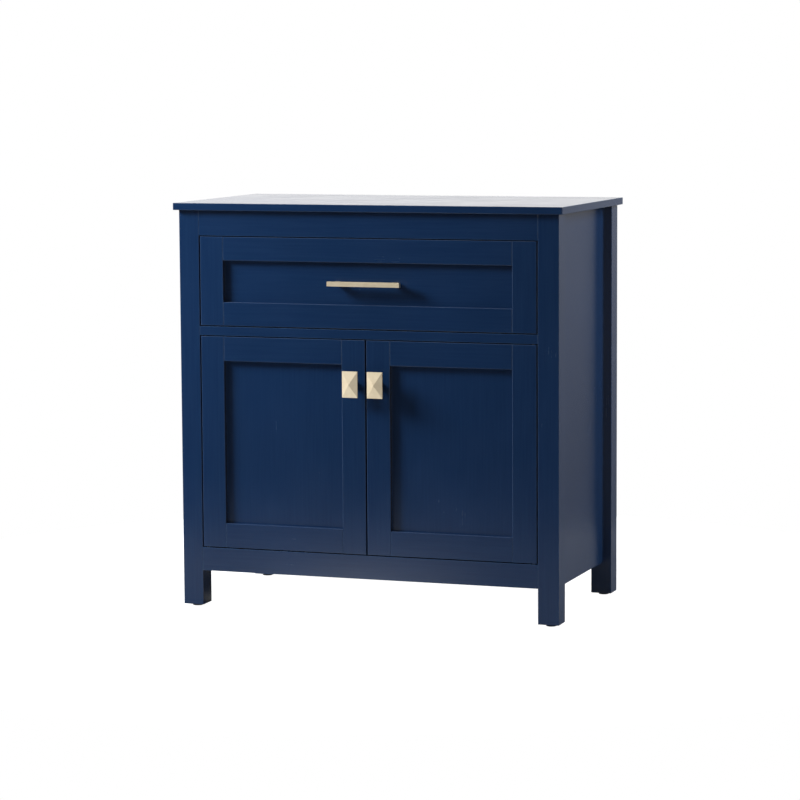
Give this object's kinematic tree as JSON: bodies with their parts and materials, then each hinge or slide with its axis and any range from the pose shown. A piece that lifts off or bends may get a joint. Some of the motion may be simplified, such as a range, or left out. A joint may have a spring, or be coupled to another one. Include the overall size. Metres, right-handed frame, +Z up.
{
  "type": "bathroom vanity cabinet",
  "caption": "Free-standing post-and-rail bathroom vanity cabinet with a full-width drawer over a pair of framed inset doors, an adjustable shelf and a plain solid top.",
  "frame": {"origin": "on the floor, under the middle of the overall box (knob tips to the top's back edge)", "axes": "+Z up, -Y out of the front with the doors and the drawer, +X to the right seen from the front"},
  "size_m": [0.858, 0.478, 0.864],
  "materials": {
    "navy_paint": "satin paint",
    "birch_ply": "clear lacquer",
    "champagne_brass": "brushed",
    "zinc_steel": "zinc plated",
    "black_steel": "black oxide",
    "black_nylon": "matte",
    "dark_plastic": "matte"
  },
  "bodies": {
    "carcass": {"adjustable_shelf": "navy_paint", "back_left_post": "navy_paint", "back_panel": "navy_paint", "back_right_post": "navy_paint", "floor_cleats": "birch_ply", "floor_panel": "navy_paint", "foot_glides": "dark_plastic", "front_left_post": "navy_paint", "front_right_post": "navy_paint", "left_side_panel": "navy_paint", "left_slide_outer_member": "zinc_steel", "lower_back_rail": "navy_paint", "lower_front_rail": "navy_paint", "magnetic_catches": "dark_plastic", "middle_front_rail": "navy_paint", "pivot_bushes": "black_nylon", "right_side_panel": "navy_paint", "right_slide_outer_member": "zinc_steel", "shelf_pins": "zinc_steel", "slide_packing_cleats": "birch_ply", "top_fixing_cleats": "birch_ply", "top_fixing_screws": "zinc_steel", "top_panel": "navy_paint", "upper_back_rail": "navy_paint", "upper_front_rail": "navy_paint"},
    "drawer": {"drawer_bottom_rail": "navy_paint", "drawer_box_back": "birch_ply", "drawer_box_floor": "birch_ply", "drawer_box_front": "birch_ply", "drawer_box_left_side": "birch_ply", "drawer_box_right_side": "birch_ply", "drawer_front_screws": "zinc_steel", "drawer_left_stile": "navy_paint", "drawer_panel": "navy_paint", "drawer_pull": "champagne_brass", "drawer_right_stile": "navy_paint", "drawer_top_rail": "navy_paint", "left_slide_inner_member": "zinc_steel", "pull_screws": "zinc_steel", "right_slide_inner_member": "zinc_steel"},
    "left_door": {"left_door_bottom_rail": "navy_paint", "left_door_hinge_stile": "navy_paint", "left_door_knob": "champagne_brass", "left_door_knob_screw": "zinc_steel", "left_door_meeting_stile": "navy_paint", "left_door_panel": "navy_paint", "left_door_pivot_pins": "black_steel", "left_door_strike_plate": "zinc_steel", "left_door_top_rail": "navy_paint"},
    "slide_middles": {"left_slide_middle_member": "zinc_steel", "right_slide_middle_member": "zinc_steel"},
    "right_door": {"right_door_bottom_rail": "navy_paint", "right_door_hinge_stile": "navy_paint", "right_door_knob": "champagne_brass", "right_door_knob_screw": "zinc_steel", "right_door_meeting_stile": "navy_paint", "right_door_panel": "navy_paint", "right_door_pivot_pins": "black_steel", "right_door_strike_plate": "zinc_steel", "right_door_top_rail": "navy_paint"}
  },
  "joints": [
    {"name": "drawer_slide", "type": "slide", "parent": "carcass", "child": "drawer", "axis": [0, -1, 0], "range_m": [0, 0.35]},
    {"name": "middle_member_slide", "type": "slide", "parent": "carcass", "child": "slide_middles", "axis": [0, -1, 0], "range_m": [0, 0.175]},
    {"name": "left_door_hinge", "type": "hinge", "parent": "carcass", "child": "left_door", "pos_m": [-0.3635, -0.203, 0.357], "axis": [0, 0, -1], "range_deg": [0, 110]},
    {"name": "right_door_hinge", "type": "hinge", "parent": "carcass", "child": "right_door", "pos_m": [0.3635, -0.203, 0.357], "axis": [0, 0, 1], "range_deg": [0, 110]}
  ],
  "couplings": [
    {"joint": "middle_member_slide", "follows": "drawer_slide", "ratio": 0.5}
  ]
}
